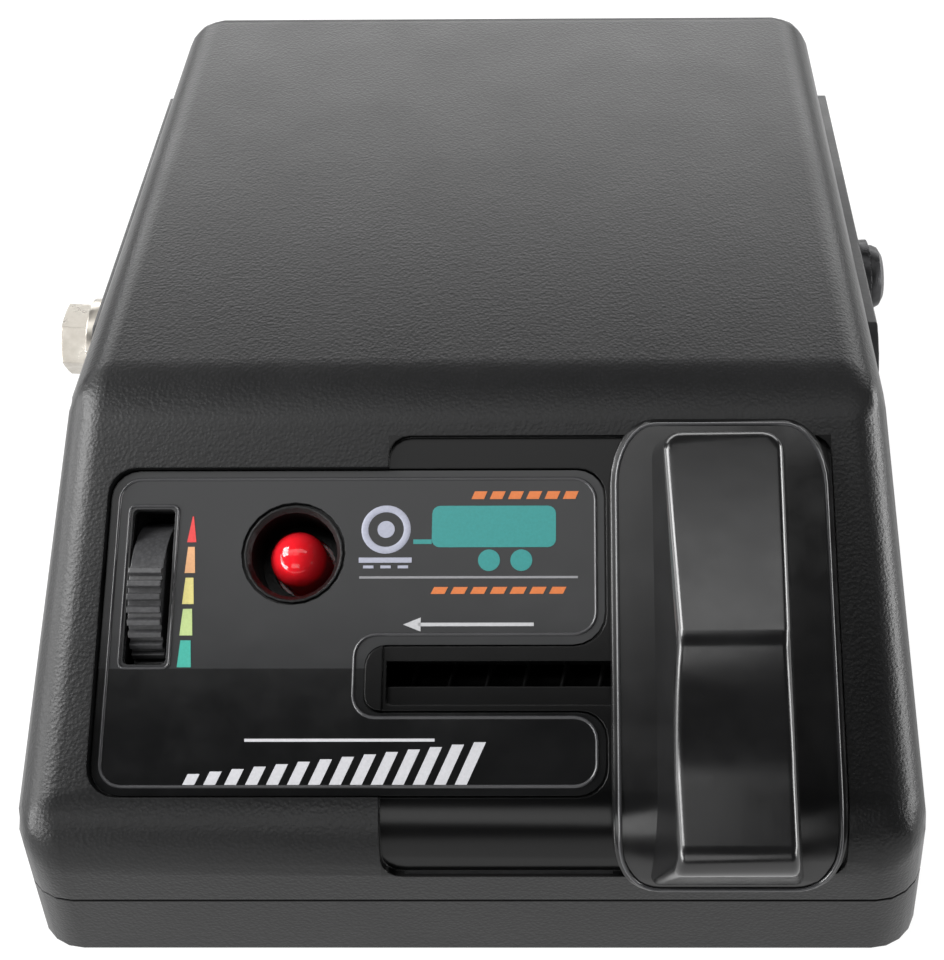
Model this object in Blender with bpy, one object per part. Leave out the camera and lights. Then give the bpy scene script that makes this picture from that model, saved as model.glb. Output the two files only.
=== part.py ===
"""Trailer brake controller unit: wedge-shaped case, slide lever, gain wheel, lamp, electronics and bracket.

Every size is in millimetres; meshes are written in metres.
Working axes: +X to the driver's right, +Y towards the back, +Z up.
y = 0 is where the flat top would meet the sloped control face, z = 0 is the case's underside.
"""
import math
from math import cos, radians, sin, tan

import bmesh
import bpy
from mathutils import Matrix, Vector

MM = 0.001

# ---- case
HEIGHT = 35.6
HALF_WIDTH = 37.0            # half the width just below the flat top
SIDE_DRAFT = radians(4.3)
BACK_Y = 67.8                # back edge of the flat top
BACK_DRAFT = radians(2.0)
FACE_ANGLE = radians(29.5)   # control face below horizontal
FACE_LENGTH = 39.7
FRONT_DRAFT = radians(3.0)
CREASE_RADIUS = 14.0
NOSE_RADIUS = 8.0
EDGE_RADIUS = 4.0
CORNER_RADIUS = 4.5
WALL = 2.0
FACE_WALL = 3.2
SPLIT_LOW = 7.6              # top of the bottom cover's rim
SPLIT_HIGH = 7.9             # bottom of the top housing's rim
GAP = 0.3

NOSE_Y = -FACE_LENGTH * cos(FACE_ANGLE)
NOSE_Z = HEIGHT - FACE_LENGTH * sin(FACE_ANGLE)

# ---- control face, measured as x across, s down the slope from y = 0, h out of the slope
TRACK_LEFT, TRACK_RIGHT = -7.5, 31.4
TRACK_TOP = 4.7
TRACK_FOOT_Z = 11.4
TRACK_DEPTH = 0.6
LABEL_LEFT, LABEL_RIGHT = -31.8, 11.4
LABEL_TOP, LABEL_FOOT = 7.7, 35.7
NOTCH_LEFT, NOTCH_TOP, NOTCH_FOOT = -9.1, 23.1, 28.85
POCKET_FLOOR = -1.2
LABEL_LOW, LABEL_HIGH = -1.15, -0.72
SLOT_LEFT, SLOT_RIGHT = -7.2, 24.2
SLOT_TOP, SLOT_STEP, SLOT_FOOT = 24.5, 26.5, 28.2
LAMP_X, LAMP_S = -15.6, 15.1
LAMP_HOLE_RADIUS = 3.75
LAMP_WELL_FLOOR = -7.5       # underside of the well that the lamp stands in
WINDOW_LEFT, WINDOW_RIGHT = -29.75, -26.15
WINDOW_TOP, WINDOW_FOOT = 11.2, 24.7

# ---- slide lever
KNOB_X = 21.25
SKIRT_LEFT, SKIRT_RIGHT = 11.8, 31.0
KNOB_TOP = 3.7
KNOB_FOOT_Z = 12.0
KNOB_SKIRT = 2.0             # top of the skirt above the case
GRIP_HALF_WIDTH = 5.75       # where the grip meets the skirt
GRIP_TAPER = tan(radians(10.0))
TRAVEL = 19.2
ROD_S, ROD_H = 25.5, -6.4
ROD_RADIUS = 1.25

# ---- gain wheel
GAIN_X = (-29.5, -26.65)
GAIN_RADIUS = 7.3
GAIN_S, GAIN_H = 17.95, -6.7
GAIN_TEETH = 40

# ---- sync wheel
SYNC_X, SYNC_Y = -30.8, 2.0
SYNC_Z = (11.0, 13.6)
SYNC_RADIUS = 9.0

# ---- board
BOARD_LOW, BOARD_HIGH = 5.4, 7.0
BOARD_HALF_WIDTH = 34.0
BOARD_FRONT, BOARD_BACK = -30.0, 58.5
CASE_SCREWS = [(-34.2, -28.0), (34.2, -28.0), (-34.0, 62.5), (34.0, 62.5)]
BOARD_SCREWS = [(-27.0, -25.5), (27.0, -8.0), (-29.0, 53.0), (29.0, 53.0)]

# ---- cable gland
GLAND_Z = 16.0
GLAND_BORE = 3.6
GLAND_END_Y = 74.0

# ---- bracket
ARM_THICKNESS = 1.2
ARM_TOP = 29.6
ARM_FRONT, ARM_BACK = 12.5, 58.0
BOLT_Z = 24.5
BOLT_YS = (19.0, 29.0)
SLOT_X, SLOT_Y = 22.0, 35.25  # middle of each mounting slot in the bracket's base
SLOT_HALF_LENGTH, SLOT_HALF_WIDTH = 6.0, 2.75
SCREW_ROOM = 3.2             # top of the room above each slot for a screw's head

ORIGIN_Y = 17.78             # the origin lies on the bracket's underside, this far behind y = 0


# ---------------------------------------------------------------- frames
def frame(u_axis, v_axis, w_axis, origin=(0, 0, 0)):
    """Matrix that places local (u, v, w) with the given axes and origin."""
    columns = [Vector(u_axis), Vector(v_axis), Vector(w_axis)]
    matrix = Matrix([[c[row] for c in columns] + [origin[row]] for row in range(3)] + [[0, 0, 0, 1]])
    return matrix


DOWN_SLOPE = (0, -cos(FACE_ANGLE), -sin(FACE_ANGLE))
OUT_OF_SLOPE = (0, -sin(FACE_ANGLE), cos(FACE_ANGLE))
FLAT = frame((1, 0, 0), (0, 1, 0), (0, 0, 1))
FRONT = frame((1, 0, 0), (0, 0, 1), (0, 1, 0))
SIDE = frame((0, 1, 0), (0, 0, 1), (1, 0, 0))
FACE = frame((1, 0, 0), DOWN_SLOPE, OUT_OF_SLOPE, (0, 0, HEIGHT))
FACE_SIDE = frame(DOWN_SLOPE, OUT_OF_SLOPE, (1, 0, 0), (0, 0, HEIGHT))


def wall_x(z):
    """Half width of the case at height z."""
    return HALF_WIDTH + (HEIGHT - 1.0 - z) * tan(SIDE_DRAFT)


def wall_frame(side, y, z):
    """Frame on the side wall: u towards the back, v up the wall, w straight out of it."""
    up = (-side * sin(SIDE_DRAFT), 0, cos(SIDE_DRAFT))
    out = (side * cos(SIDE_DRAFT), 0, sin(SIDE_DRAFT))
    return frame((0, 1, 0), up, out, (side * wall_x(z), y, z))


# ---------------------------------------------------------------- outlines
def rectangle(u0, u1, v0, v1):
    return [(u0, v0), (u1, v0), (u1, v1), (u0, v1)]


def circle(radius, centre=(0, 0), steps=24):
    turns = [2 * math.pi * i / steps for i in range(steps)]
    return [(centre[0] + radius * cos(a), centre[1] + radius * sin(a)) for a in turns]


def rounded(points, cuts, steps=5):
    """Round each corner; a cut is the length taken off both its sides, or one length for each side."""
    result = []
    for i, point in enumerate(points):
        cut = cuts[i]
        if not cut:
            result.append(tuple(point))
            continue
        before, after = cut if isinstance(cut, tuple) else (cut, cut)
        corner = Vector(point)
        start = corner + (Vector(points[i - 1]) - corner).normalized() * before
        end = corner + (Vector(points[(i + 1) % len(points)]) - corner).normalized() * after
        centre = start + end - corner
        for k in range(steps + 1):
            a = math.pi / 2 * k / steps
            result.append(tuple(centre + (start - centre) * cos(a) + (end - centre) * sin(a)))
    return result


def long_slot(x, y, half_length, half_width, steps=6):
    """Outline of a slot with round ends, long in u."""
    outline = []
    for side in (1, -1):
        for k in range(steps + 1):
            a = math.pi * (k / steps - 0.5)
            u = x + side * (half_length - half_width + half_width * cos(a))
            outline.append((u, y + side * half_width * sin(a)))
    return outline


# ---------------------------------------------------------------- solids
def solid(points, faces):
    """Closed object from points in millimetres, with its faces turned outwards."""
    mesh = bpy.data.meshes.new("solid")
    mesh.from_pydata([Vector(p) * MM for p in points], [], faces)
    work = bmesh.new()
    work.from_mesh(mesh)
    bmesh.ops.recalc_face_normals(work, faces=work.faces)
    work.to_mesh(mesh)
    work.free()
    obj = bpy.data.objects.new("solid", mesh)
    bpy.context.collection.objects.link(obj)
    return obj


def loft(rings):
    """Closed solid through rings of equal length, capped at both ends."""
    count = len(rings[0])
    points = [p for ring in rings for p in ring]
    faces = [list(range(count))]
    faces.append(list(range(len(points) - count, len(points))))
    for k in range(len(rings) - 1):
        for i in range(count):
            j = (i + 1) % count
            faces.append([k * count + i, k * count + j, (k + 1) * count + j, (k + 1) * count + i])
    return solid(points, faces)


def prism(outline, low, high, place=FLAT):
    """Straight extrusion of an outline between two heights of its frame."""
    return loft([[place @ Vector((u, v, w)) for u, v in outline] for w in (low, high)])


def box(x, y, z, place=FLAT):
    return prism(rectangle(x[0], x[1], y[0], y[1]), z[0], z[1], place)


def rod(radius, low, high, centre=(0, 0), place=FLAT, steps=24):
    return prism(circle(radius, centre, steps), low, high, place)


def turned(profile, centre=(0, 0), place=FLAT, steps=24):
    """Turned solid from (radius, height) points; the first and last lie on the axis."""
    rings = profile[1:-1]
    points = [place @ Vector((centre[0], centre[1], profile[0][1]))]
    points.append(place @ Vector((centre[0], centre[1], profile[-1][1])))
    for radius, w in rings:
        points += [place @ Vector((u, v, w)) for u, v in circle(radius, centre, steps)]
    faces = []
    last = 2 + (len(rings) - 1) * steps
    for i in range(steps):
        j = (i + 1) % steps
        faces.append([0, 2 + i, 2 + j])
        faces.append([1, last + i, last + j])
        for k in range(len(rings) - 1):
            a = 2 + k * steps
            faces.append([a + i, a + j, a + steps + j, a + steps + i])
    return solid(points, faces)


def ring(outer, inner, low, high, centre=(0, 0), place=FLAT, steps=24):
    """Plain tube."""
    return cut(rod(outer, low, high, centre, place, steps), rod(inner, low - 1, high + 1, centre, place, steps))


def wire(path, radius, steps=8):
    """Round wire along a path of points, with flat ends."""
    rings = []
    side = None
    for i, point in enumerate(path):
        here = Vector(point)
        ahead = Vector(path[min(i + 1, len(path) - 1)])
        behind = Vector(path[max(i - 1, 0)])
        along = (ahead - behind).normalized()
        if side is None:
            side = along.orthogonal().normalized()
        side = (side - along * side.dot(along)).normalized()
        other = along.cross(side)
        rings.append([here + (side * u + other * v) for u, v in circle(radius, steps=steps)])
    return loft(rings)


def bake(obj):
    """Replace the object's mesh by what its modifiers make of it."""
    bpy.context.view_layer.update()
    graph = bpy.context.evaluated_depsgraph_get()
    mesh = bpy.data.meshes.new_from_object(obj.evaluated_get(graph))
    obj.modifiers.clear()
    obj.data = mesh
    return obj


def combine(operation, target, tools):
    for tool in tools:
        modifier = target.modifiers.new("combine", "BOOLEAN")
        modifier.solver = "EXACT"
        modifier.operation = operation
        modifier.object = tool
        bake(target)
        bpy.data.objects.remove(tool)
    return target


def cut(target, *tools):
    return combine("DIFFERENCE", target, tools)


def join(target, *tools):
    return combine("UNION", target, tools)


def common(target, *tools):
    return combine("INTERSECT", target, tools)


def soften(obj, width, segments=2, pick=None):
    """Bevel the sharp edges, or only those that pick(end_a, end_b) accepts, in millimetres."""
    work = bmesh.new()
    work.from_mesh(obj.data)
    edges = []
    for edge in work.edges:
        if pick:
            chosen = pick(edge.verts[0].co / MM, edge.verts[1].co / MM)
        else:
            chosen = edge.is_manifold and edge.calc_face_angle() > radians(40)
        if chosen:
            edges.append(edge)
    bmesh.ops.bevel(work, geom=edges, offset=width * MM, segments=segments, profile=0.5,
                    affect="EDGES", clamp_overlap=True)
    work.to_mesh(obj.data)
    work.free()
    return obj


# ---------------------------------------------------------------- materials
def material(name, colour, roughness, metallic=0.0):
    made = bpy.data.materials.new(name)
    made.use_nodes = True
    shader = made.node_tree.nodes["Principled BSDF"]
    shader.inputs["Base Color"].default_value = (*colour, 1.0)
    shader.inputs["Roughness"].default_value = roughness
    shader.inputs["Metallic"].default_value = metallic
    return made


def tidy(mesh, distance=0.002):
    """Weld vertices that the cuts left a hair apart."""
    work = bmesh.new()
    work.from_mesh(mesh)
    bmesh.ops.remove_doubles(work, verts=work.verts, dist=distance * MM)
    bmesh.ops.dissolve_degenerate(work, edges=work.edges, dist=0.002 * MM)
    work.to_mesh(mesh)
    work.free()


def finish(obj, name, look, origin=(0, 0, 0), smooth=30):
    """Name the piece, give it its own material and put its origin where it turns or slides."""
    obj.name = name
    obj.data.name = name
    colour, roughness, metallic = look
    tidy(obj.data)
    obj.data.materials.clear()
    obj.data.materials.append(material(name, colour, roughness, metallic))
    start = Vector(origin)
    obj.data.transform(Matrix.Translation(-start * MM))
    obj.location = (start - Vector((0, ORIGIN_Y, 0))) * MM
    obj.data.shade_smooth()
    obj.data.set_sharp_from_angle(angle=radians(smooth))
    return obj


CASE_BLACK = ((0.030, 0.030, 0.032), 0.55, 0.0)
COVER_BLACK = ((0.040, 0.040, 0.042), 0.60, 0.0)
GLOSS_BLACK = ((0.018, 0.018, 0.020), 0.25, 0.0)
NYLON = ((0.060, 0.060, 0.062), 0.50, 0.0)
LAMP_RED = ((0.600, 0.010, 0.015), 0.15, 0.0)
RUBBER = ((0.020, 0.020, 0.020), 0.80, 0.0)
ZINC = ((0.720, 0.710, 0.680), 0.35, 1.0)
BLACK_OXIDE = ((0.050, 0.050, 0.050), 0.40, 1.0)
BLACK_PAINT = ((0.025, 0.025, 0.027), 0.45, 0.0)
BRASS = ((0.720, 0.520, 0.220), 0.35, 1.0)
STEEL = ((0.560, 0.560, 0.570), 0.35, 1.0)
TIN = ((0.780, 0.780, 0.770), 0.30, 1.0)
BOARD_GREEN = ((0.030, 0.200, 0.090), 0.45, 0.0)
ALUMINIUM = ((0.750, 0.760, 0.770), 0.40, 1.0)
CERAMIC = ((0.800, 0.790, 0.740), 0.70, 0.0)
CAN_BLUE = ((0.040, 0.080, 0.250), 0.35, 0.0)
CHIP_BLACK = ((0.025, 0.025, 0.026), 0.60, 0.0)


# ---------------------------------------------------------------- case forms
def block(inset, face_inset=None, low=0.0, segments=5):
    """The case's outer form with every face moved inwards by inset, or outwards if it is negative."""
    face = inset if face_inset is None else face_inset
    top = HEIGHT - inset
    face_top = HEIGHT - face / cos(FACE_ANGLE)
    slope = tan(FACE_ANGLE)
    lean = tan(FRONT_DRAFT)
    front_start = NOSE_Y - NOSE_Z * lean + inset
    nose_z = (face_top + slope * front_start) / (1 - slope * lean)
    side_view = [
        ((top - face_top) / slope, top),
        (front_start + lean * nose_z, nose_z),
        (front_start + lean * low, low),
        (BACK_Y + (HEIGHT - low) * tan(BACK_DRAFT) - inset, low),
        (BACK_Y + (HEIGHT - top) * tan(BACK_DRAFT) - inset, top),
    ]
    points = []
    for side in (-1, 1):
        points += [(side * (wall_x(z) - inset), y, z) for y, z in side_view]
    faces = [[0, 1, 2, 3, 4], [5, 6, 7, 8, 9]]
    faces += [[i, (i + 1) % 5, 5 + (i + 1) % 5, 5 + i] for i in range(5)]
    obj = solid(points, faces)

    turn = math.pi / 2 - FRONT_DRAFT - FACE_ANGLE
    cuts = {(0, 5): max(CREASE_RADIUS - inset, 1) * tan(FACE_ANGLE / 2)}
    cuts[(1, 6)] = max(NOSE_RADIUS - inset, 1) * tan(turn / 2)
    cuts[(4, 9)] = max(EDGE_RADIUS - inset, 0.6)
    for first in (0, 5):
        cuts[(first, first + 4)] = max(EDGE_RADIUS - inset, 0.6)
        cuts[(first, first + 1)] = max(EDGE_RADIUS - inset, 0.6)
        cuts[(first + 1, first + 2)] = max(CORNER_RADIUS - inset, 0.6)
        cuts[(first + 3, first + 4)] = max(CORNER_RADIUS - inset, 0.6)
    widest = max(cuts.values())
    weights = obj.data.attributes.new("bevel_weight_edge", "FLOAT", "EDGE")
    for edge in obj.data.edges:
        weights.data[edge.index].value = cuts.get(tuple(sorted(edge.vertices)), 0.0) / widest
    bevel = obj.modifiers.new("edges", "BEVEL")
    bevel.limit_method = "WEIGHT"
    bevel.offset_type = "OFFSET"
    bevel.width = widest * MM
    bevel.segments = segments
    return bake(obj)


def slab(inset, low, high):
    """A layer of the case's lower part, inset from its outer faces."""
    rings = []
    for z in (low, high):
        x = wall_x(z) - inset
        front = NOSE_Y - (NOSE_Z - z) * tan(FRONT_DRAFT) + inset
        back = BACK_Y + (HEIGHT - z) * tan(BACK_DRAFT) - inset
        outline = rounded(rectangle(-x, x, front, back), [max(CORNER_RADIUS - inset, 0.6)] * 4, 5)
        rings.append([(u, v, z) for u, v in outline])
    return loft(rings)


def label_outline(grow=0.0):
    """Outline of the face label, notched on the right for the slide slot."""
    left, right = LABEL_LEFT - grow, LABEL_RIGHT + grow
    notch_left = NOTCH_LEFT + grow
    corners = [
        (left, LABEL_TOP - grow),
        (right, LABEL_TOP - grow),
        (right, NOTCH_TOP + grow),
        (notch_left, NOTCH_TOP + grow),
        (notch_left, NOTCH_FOOT - grow),
        (right, NOTCH_FOOT - grow),
        (right, LABEL_FOOT + grow),
        (left, LABEL_FOOT + grow),
    ]
    return rounded(corners, [2.4, 2.4, 2.8, 1.8, 1.3, 2.3, 2.4, 2.6])


def wheel_window(low, high, grow=0.0):
    outline = rectangle(WINDOW_LEFT - grow, WINDOW_RIGHT + grow, WINDOW_TOP - grow, WINDOW_FOOT + grow)
    return prism(rounded(outline, [0.4] * 4, 2), low, high, FACE)


# ---------------------------------------------------------------- top housing
def make_top_housing():
    shell = cut(block(0, low=SPLIT_HIGH), block(WALL, FACE_WALL, SPLIT_HIGH - 2, 3))

    # columns for the case screws, trimmed so that they stop inside the roof
    for x, y in CASE_SCREWS:
        join(shell, common(rod(3.2, SPLIT_HIGH, 40, (x, y), steps=16), block(0.8, None, SPLIT_HIGH - 1, 2)))

    # bosses for the bracket inserts
    for side in (-1, 1):
        for y in BOLT_YS:
            place = wall_frame(side, y, BOLT_Z)
            join(shell, common(rod(4.8, -9.5, 2, place=place, steps=20), block(0.5, None, 0, 2)))
            cut(shell, rod(3.3, -8.8, 2, place=place, steps=20))

    # two ribs that hold the guide rod
    for x in ((-15.2, -13.2), (26.6, 28.6)):
        rib = box(x, (21.5, 29.5), (-9.6, -2.4), FACE)
        join(shell, cut(rib, rod(ROD_RADIUS + GAP, -40, 40, (ROD_S, ROD_H), FACE_SIDE, 16)))

    # tongue-and-groove rebate around the rim
    cut(shell, cut(slab(1.0, SPLIT_HIGH - 2, 9.2), slab(2.9, SPLIT_HIGH - 3, 9.5)))

    # pilot holes for the case screws
    for x, y in CASE_SCREWS:
        cut(shell, rod(1.5, SPLIT_HIGH - 1, 15.0, (x, y), steps=12))

    # shallow track that the slide lever's skirt runs over, round the nose of the case
    side_view = [tuple(FACE_SIDE @ Vector((TRACK_TOP, h, 0)))[1:] for h in (-4, 6)]
    side_view += [(-50, 45), (-50, TRACK_FOOT_Z), (-25, TRACK_FOOT_Z)]
    track = prism(side_view, TRACK_LEFT, TRACK_RIGHT, SIDE)

    def track_corner(a, b):
        same_side = abs(a.x - b.x) < 0.1
        at_top = min((FACE_SIDE.inverted() @ p).x for p in (a, b)) > TRACK_TOP - 0.1
        at_top = at_top and max((FACE_SIDE.inverted() @ p).x for p in (a, b)) < TRACK_TOP + 0.1
        at_foot = max(abs(a.z - TRACK_FOOT_Z), abs(b.z - TRACK_FOOT_Z)) < 0.1
        return same_side and (at_top or at_foot)

    soften(track, 1.9, 4, track_corner)
    cut(shell, cut(track, block(TRACK_DEPTH, low=0)))

    # label pocket and the slide slot with its stepped lower side
    cut(shell, prism(label_outline(0.15), POCKET_FLOOR, 4, FACE))
    join(shell, rod(4.3, -1.6, -0.8, (LAMP_X, LAMP_S), FACE))
    step = rounded(rectangle(SLOT_LEFT, SLOT_RIGHT, SLOT_TOP + 0.1, SLOT_FOOT), [0.4] * 4, 2)
    cut(shell, prism(step, -1.9, 3, FACE))
    cut(shell, box((SLOT_LEFT, SLOT_RIGHT), (SLOT_TOP, SLOT_STEP), (-5, 3), FACE))

    # lamp hole with a chamfered lip and a well behind it whose floor the lamp comes through
    centre = (LAMP_X, LAMP_S)
    join(shell, rod(LAMP_HOLE_RADIUS + 1.0, LAMP_WELL_FLOOR, -2.5, centre, FACE))
    cut(shell, rod(LAMP_HOLE_RADIUS, LAMP_WELL_FLOOR + 0.8, 3, centre, FACE))
    cut(shell, rod(2.8, LAMP_WELL_FLOOR - 1, 3, centre, FACE))
    cone = [(0, -1.3), (LAMP_HOLE_RADIUS - 0.05, -1.3), (LAMP_HOLE_RADIUS + 0.45, -0.7), (0, -0.7)]
    cut(shell, turned(cone, centre, FACE))

    # window of the gain wheel with a relieved back
    cut(shell, wheel_window(-6, 3))
    cut(shell, wheel_window(-6, -2.2, 0.7))

    # side slot for the sync wheel
    slot = rounded(rectangle(SYNC_Y - 7.3, SYNC_Y + 7.3, SYNC_Z[0] - 0.4, SYNC_Z[1] + 0.4), [1.0] * 4, 3)
    cut(shell, prism(slot, -45, -34, SIDE))

    # hole for the cable gland
    cut(shell, rod(6.3, 60, 75, (0, GLAND_Z), FRONT))
    return finish(shell, "top_housing", CASE_BLACK)


# ---------------------------------------------------------------- bottom cover
def make_bottom_cover():
    tray = join(slab(0, 0, SPLIT_LOW), slab(1.3, SPLIT_LOW - 1.5, 8.9))
    cavity = slab(2.6, 2.0, 12)
    cut(cavity, box((-60, 60), (ARM_FRONT - 2.5, ARM_BACK + 2.5), (0, 3.5)))
    for x in (-SLOT_X, SLOT_X):
        cut(cavity, box((x - 11.6, x + 11.6), (SLOT_Y - 6.6, SLOT_Y + 6.6), (0, SCREW_ROOM + 1.6)))
    cut(tray, cavity)

    # channel under the cover in which the bracket's base lies flush, deeper where a screw's head goes
    cut(tray, box((-60, 60), (ARM_FRONT - GAP, ARM_BACK + GAP), (-5, 1.5)))
    for x in (-SLOT_X, SLOT_X):
        cut(tray, box((x - 10, x + 10), (SLOT_Y - 5, SLOT_Y + 5), (-5, SCREW_ROOM)))

    # columns for the case screws and posts for the board
    for x, y in CASE_SCREWS:
        join(tray, common(rod(3.2, 1.0, SPLIT_LOW - 0.1, (x, y), steps=16), slab(0.7, 0.5, SPLIT_LOW + 1)))
        cut(tray, rod(1.6, -1, 10, (x, y), steps=12))
        cut(tray, rod(3.3, -1, 2.2, (x, y), steps=16))
    for x, y in BOARD_SCREWS:
        join(tray, rod(2.7, 1.6, BOARD_LOW - GAP, (x, y), steps=14))
        cut(tray, rod(1.4, 2.6, 10, (x, y), steps=12))
    return finish(tray, "bottom_cover", COVER_BLACK)


# ---------------------------------------------------------------- face label
def make_face_label():
    label = prism(label_outline(), LABEL_LOW, LABEL_HIGH, FACE)
    cut(label, rod(4.55, -3, 1, (LAMP_X, LAMP_S), FACE))
    cut(label, wheel_window(-3, 1, 0.05))
    return finish(label, "face_label", GLOSS_BLACK)


# ---------------------------------------------------------------- slide lever
def make_slide_knob():
    # skirt that follows the control face and wraps over the nose
    skirt = cut(block(-KNOB_SKIRT, low=4), block(-GAP, low=2))
    top_view = rounded(rectangle(SKIRT_LEFT, SKIRT_RIGHT, KNOB_TOP, 80), [(6.0, 3.9), (3.9, 6.0), 0, 0], 7)
    common(skirt, prism(top_view, -40, 40, FACE))
    front_view = rounded(rectangle(SKIRT_LEFT, SKIRT_RIGHT, KNOB_FOOT_Z, 80), [(5.3, 3.9), (3.9, 5.3), 0, 0], 7)
    common(skirt, prism(front_view, -60, 10, FRONT))
    tidy(skirt.data, 0.25)
    soften(skirt, 0.6, 2)

    # grip: a tilted thumb pad, a ridge, a shallow finger scoop and a raised front end
    corners = [
        (0.0, -3.0),
        (0.0, 4.9),
        (24.1, 9.8),
        (29.8, 7.5),
        (42.0, 8.8),
        (42.9, -1.1),
        (41.0, -3.0),
    ]
    side_view = rounded(corners, [0, 0, 0.8, 5.0, 2.2, 0, 0], 6)
    grip = prism(side_view, SKIRT_LEFT, SKIRT_RIGHT, FACE_SIDE)
    rings = []
    for h in (-4.0, 12.0):
        half = GRIP_HALF_WIDTH - (h - KNOB_SKIRT) * GRIP_TAPER
        outline = rectangle(KNOB_X - half, KNOB_X + half, 5.3 + 0.13 * h, 60)
        rings.append([FACE @ Vector((x, s, h)) for x, s in rounded(outline, [1.7, 1.7, 0, 0], 5)])
    common(grip, loft(rings))
    soften(grip, 0.65, 3)
    cut(grip, block(-GAP, low=0))
    join(skirt, grip)
    cut(skirt, box((17.5, 23.5), (24.65, 26.45), (-3, 5.4), FACE))
    return finish(skirt, "slide_knob", GLOSS_BLACK, (KNOB_X, *slope_point(ROD_S, ROD_H)))


def slope_point(s, h):
    """y and z of a point s down the slope and h out of it."""
    point = FACE @ Vector((0, s, h))
    return point.y, point.z


def make_slide_mechanism():
    pivot = (KNOB_X, *slope_point(ROD_S, ROD_H))

    carriage = box((12.4, 23.6), (21.5, 29.5), (-10.0, -3.7), FACE)
    join(carriage, box((12.6, 23.4), (25.0, 26.1), (-4.5, -0.1), FACE))
    join(carriage, box((17.8, 23.2), (25.0, 26.1), (-1.0, 5.0), FACE))
    cut(carriage, rod(ROD_RADIUS + 0.2, -10, 40, (ROD_S, ROD_H), FACE_SIDE, 24))
    cut(carriage, box((17.05, 18.95), (-24.5, -13.0), (5, 15.7)))
    finish(carriage, "slide_carriage", NYLON, pivot)

    guide = rod(ROD_RADIUS, -15.0, 28.4, (ROD_S, ROD_H), FACE_SIDE, 20)
    finish(guide, "slide_guide_rod", BLACK_OXIDE, (-15.0, *slope_point(ROD_S, ROD_H)))

    turns, start, end, mean = 7.5, -12.6, 12.0, 2.05
    path = []
    steps = 12
    for i in range(int(turns * steps) + 1):
        a = 2 * math.pi * i / steps
        x = start + (end - start) * i / (turns * steps)
        path.append(FACE_SIDE @ Vector((ROD_S + mean * cos(a), ROD_H + mean * sin(a), x)))
    spring = wire(path, 0.3, 5)
    finish(spring, "slide_return_spring", BLACK_OXIDE, (start, *slope_point(ROD_S, ROD_H)), 80)

    y, z = -18.0, BOARD_HIGH + 0.2
    pot = box((-8.0, 31.0), (y - 4.5, y + 4.5), (z, 11.4))
    cut(pot, box((-5.0, 21.5), (y - 0.9, y + 0.9), (9.0, 13)))
    soften(pot, 0.35, 1)
    finish(pot, "slide_pot_body", STEEL)
    lever = box((17.4, 18.6), (y - 0.6, y + 0.6), (9.3, 15.3))
    finish(lever, "slide_pot_lever", NYLON, (18.0, y, 9.3))


# ---------------------------------------------------------------- gain and sync wheels
def toothed(radius, teeth, depth, smooth_from=0.0, smooth_to=0.0):
    """Outline of a finger wheel: square-cut grip teeth, left smooth between two angles."""
    outline = []
    for k in range(teeth):
        centre = 2 * math.pi * k / teeth
        if smooth_from <= centre <= smooth_to:
            outline.append(((radius - depth) * cos(centre), (radius - depth) * sin(centre)))
            continue
        step = 2 * math.pi / teeth
        for share, r in ((-0.32, radius - depth), (-0.20, radius), (0.20, radius), (0.32, radius - depth)):
            outline.append((r * cos(centre + share * step), r * sin(centre + share * step)))
    return outline


def make_gain_wheel():
    centre = slope_point(GAIN_S, GAIN_H)
    axle = (GAIN_X[0], *centre)
    # the smooth part lies on the uphill side of the window at rest
    up_slope = FACE_ANGLE
    top = FACE_ANGLE + math.pi / 2
    place = frame((0, cos(top), sin(top)), (0, cos(up_slope), sin(up_slope)), (1, 0, 0), (0, *centre))
    outline = toothed(GAIN_RADIUS, GAIN_TEETH, 0.45, radians(12), radians(80))
    wheel = prism(outline, GAIN_X[0], GAIN_X[1], place)
    join(wheel, rod(1.6, GAIN_X[1] - 0.5, -21.8, place=place, steps=20))
    join(wheel, rod(3.0, GAIN_X[1] - 0.5, GAIN_X[1] + 0.3, place=place, steps=24))
    finish(wheel, "gain_wheel", GLOSS_BLACK, axle)

    y, z = centre
    front, back = y - 4.0, y + 4.0
    roof = [z_on_slope(front, -3.7), z_on_slope(back, -3.7)]
    outline = [(front, BOARD_HIGH + 0.2), (back, BOARD_HIGH + 0.2), (back, roof[1]), (front, roof[0])]
    pot = prism(rounded(outline, [0.5] * 4, 2), -25.7, -20.9, SIDE)
    cut(pot, rod(1.9, -27, -21.5, (y, z), SIDE, 20))
    finish(pot, "gain_pot_body", NYLON)


def z_on_slope(y, h):
    """Height of the plane h out of the control face at a given y."""
    return HEIGHT + y * tan(FACE_ANGLE) + h / cos(FACE_ANGLE)


def make_sync_wheel():
    place = frame((1, 0, 0), (0, 1, 0), (0, 0, 1), (SYNC_X, SYNC_Y, 0))
    wheel = prism(toothed(SYNC_RADIUS, 36, 0.5), SYNC_Z[0], SYNC_Z[1], place)
    join(wheel, rod(1.4, 8.0, SYNC_Z[0] + 0.5, place=place, steps=20))
    finish(wheel, "sync_wheel", GLOSS_BLACK, (SYNC_X, SYNC_Y, SYNC_Z[0]))

    low = BOARD_HIGH + 0.2
    pot = box((SYNC_X - 3.1, SYNC_X + 3.4), (SYNC_Y - 3.4, SYNC_Y + 3.4), (low, 10.2))
    soften(pot, 0.4, 1)
    cut(pot, rod(1.7, 7.7, 12, place=place, steps=20))
    finish(pot, "sync_pot_body", NYLON)


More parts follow.
